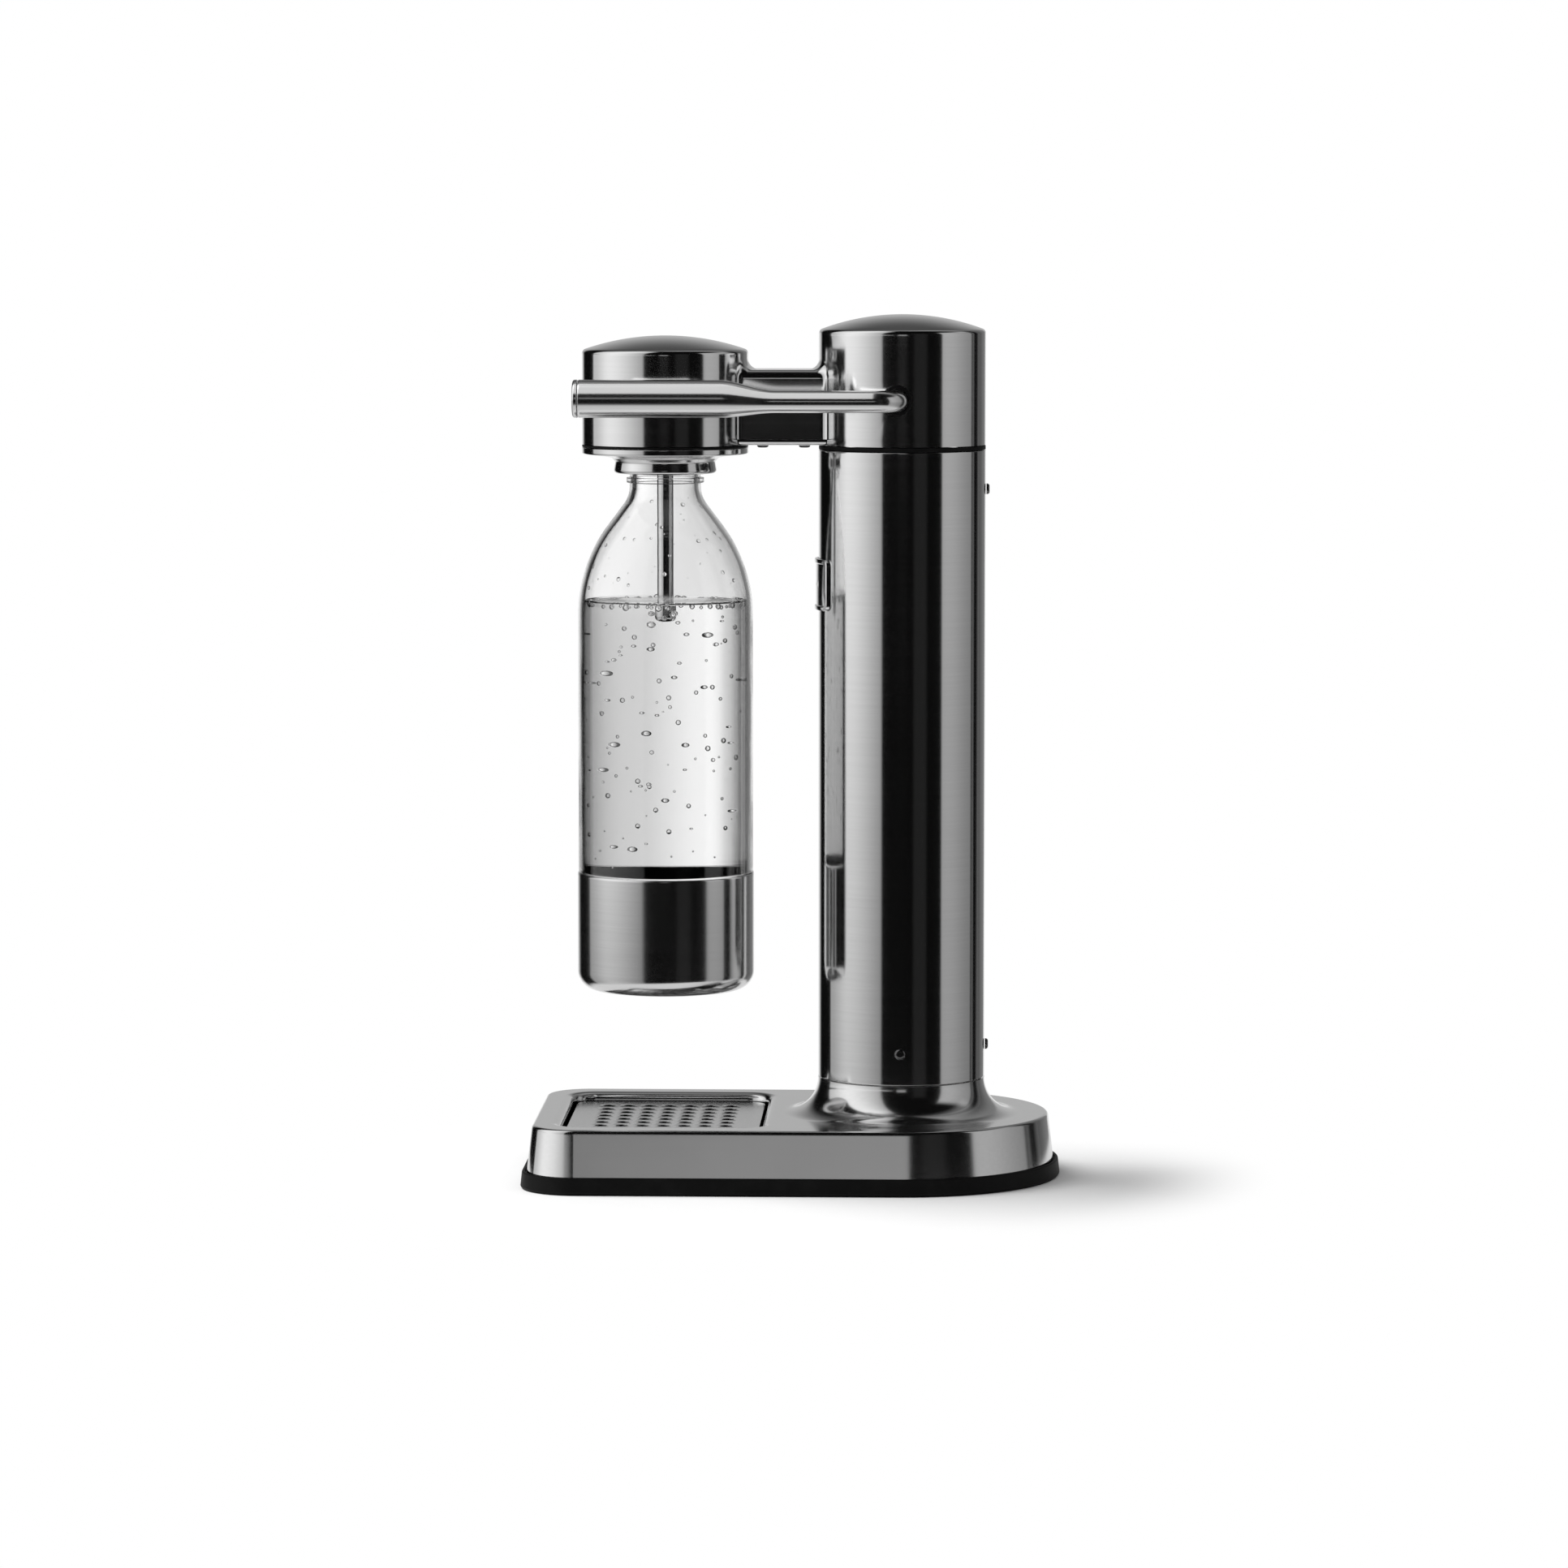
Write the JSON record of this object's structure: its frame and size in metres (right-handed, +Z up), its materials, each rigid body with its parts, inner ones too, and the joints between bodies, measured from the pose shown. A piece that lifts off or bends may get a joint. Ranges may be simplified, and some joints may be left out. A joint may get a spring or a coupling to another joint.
{
  "type": "sparkling water maker",
  "caption": "Countertop sparkling water maker with a steel column on a pressed foot, a domed head with a side lever, a screw-in bottle over a drip grid and a gas cylinder inside.",
  "frame": {"origin": "middle of the underside of the rubber skirt that the machine stands on", "axes": "+Z up; -X from the column towards the bottle, along the foot; the lever is beside the head on the -Y side"},
  "size_m": [0.257, 0.153, 0.4139],
  "materials": {
    "polished_steel": "polished stainless steel with a very fine brush",
    "brushed_steel": "finely brushed stainless steel",
    "spring_steel": "plain turned or drawn steel",
    "black_rubber": "matt black rubber",
    "black_plastic": "satin black plastic",
    "brass": "turned brass",
    "cast_alloy": "as-cast light alloy",
    "black_screw": "blackened steel",
    "clear_plastic": "clear blown plastic"
  },
  "bodies": {
    "frame": {"rubber_skirt": "black_rubber", "base_shell": "polished_steel", "base_plate": "cast_alloy", "base_screw_1": "black_screw", "base_screw_2": "black_screw", "base_screw_3": "black_screw", "base_screw_4": "black_screw", "column_foot": "cast_alloy", "column_tube": "polished_steel", "column_gasket": "black_rubber", "front_plaque": "brushed_steel", "column_screw_near": "black_screw", "column_screw_far": "black_screw", "column_screw_back_low": "black_screw", "column_screw_back_high": "black_screw", "valve_carrier": "cast_alloy", "valve_block": "brass", "valve_seal": "black_rubber", "plunger_seal": "black_rubber", "mechanism_bracket": "cast_alloy", "bracket_screw_1": "black_screw", "bracket_screw_2": "black_screw", "hose_fitting_rear": "brass", "hose_fitting_front": "brass", "gas_hose": "black_plastic", "lever_spring": "spring_steel", "shaft_bushing_near": "black_plastic", "shaft_bushing_far": "black_plastic", "shaft_grommet": "black_rubber", "column_cap": "polished_steel", "nozzle_cap": "polished_steel", "arm_casing": "polished_steel", "arm_cover": "polished_steel", "arm_screw_1": "spring_steel", "arm_screw_2": "spring_steel", "nozzle_gasket": "black_rubber", "bottle_collar": "polished_steel", "bottle_seal": "black_rubber", "nozzle_block": "black_plastic", "nozzle_screw_1": "black_screw", "nozzle_screw_2": "black_screw", "nozzle_tube": "brushed_steel", "nozzle_tip": "polished_steel", "relief_cap": "brass"},
    "lever": {"lever_shaft": "spring_steel", "lever_cam": "spring_steel", "cam_pin": "spring_steel", "shaft_clip": "spring_steel", "lever_arm": "brushed_steel", "lever_cap": "brushed_steel"},
    "plunger": {"plunger": "spring_steel", "plunger_spring": "spring_steel"},
    "cylinder": {"gas_cylinder": "brushed_steel", "cylinder_valve": "brass"},
    "valve_pin": {"valve_pin": "spring_steel"},
    "bottle": {"bottle_body": "clear_plastic", "bottle_cup": "polished_steel"},
    "grid": {"drip_grid": "brushed_steel"},
    "relief": {"relief_poppet": "spring_steel", "relief_spring": "spring_steel"}
  },
  "joints": [
    {"name": "lever_pull", "type": "hinge", "parent": "frame", "child": "lever", "pos_m": [0.05, 0, 0.3738], "axis": [0, -1, 0], "range_deg": [0, 45], "stiffness_Nm_per_rad": 0.6, "springref_deg": -34.38},
    {"name": "plunger_press", "type": "slide", "parent": "frame", "child": "plunger", "axis": [0, 0, -1], "range_m": [0, 0.0026], "stiffness_N_per_m": 400, "springref_m": -0.003, "deforming": ["plunger_spring"]},
    {"name": "cylinder_draw", "type": "slide", "parent": "frame", "child": "cylinder", "axis": [0, 0, -1], "range_m": [0, 0.35]},
    {"name": "valve_pin_press", "type": "slide", "parent": "cylinder", "child": "valve_pin", "axis": [0, 0, -1], "range_m": [0, 0.0026]},
    {"name": "bottle_lower", "type": "slide", "parent": "frame", "child": "bottle", "axis": [0, 0, -1], "range_m": [0, 0.035]},
    {"name": "grid_lift", "type": "slide", "parent": "frame", "child": "grid", "axis": [0, 0, 1], "range_m": [0, 0.018]},
    {"name": "relief_open", "type": "slide", "parent": "frame", "child": "relief", "axis": [0, 0, 1], "range_m": [0, 0.0015], "stiffness_N_per_m": 200, "springref_m": -0.002, "deforming": ["relief_spring"]}
  ],
  "couplings": [
    {"joint": "plunger_press", "follows": "lever_pull", "m_per_rad": 0.003183},
    {"joint": "valve_pin_press", "follows": "lever_pull", "m_per_rad": 0.003183}
  ]
}
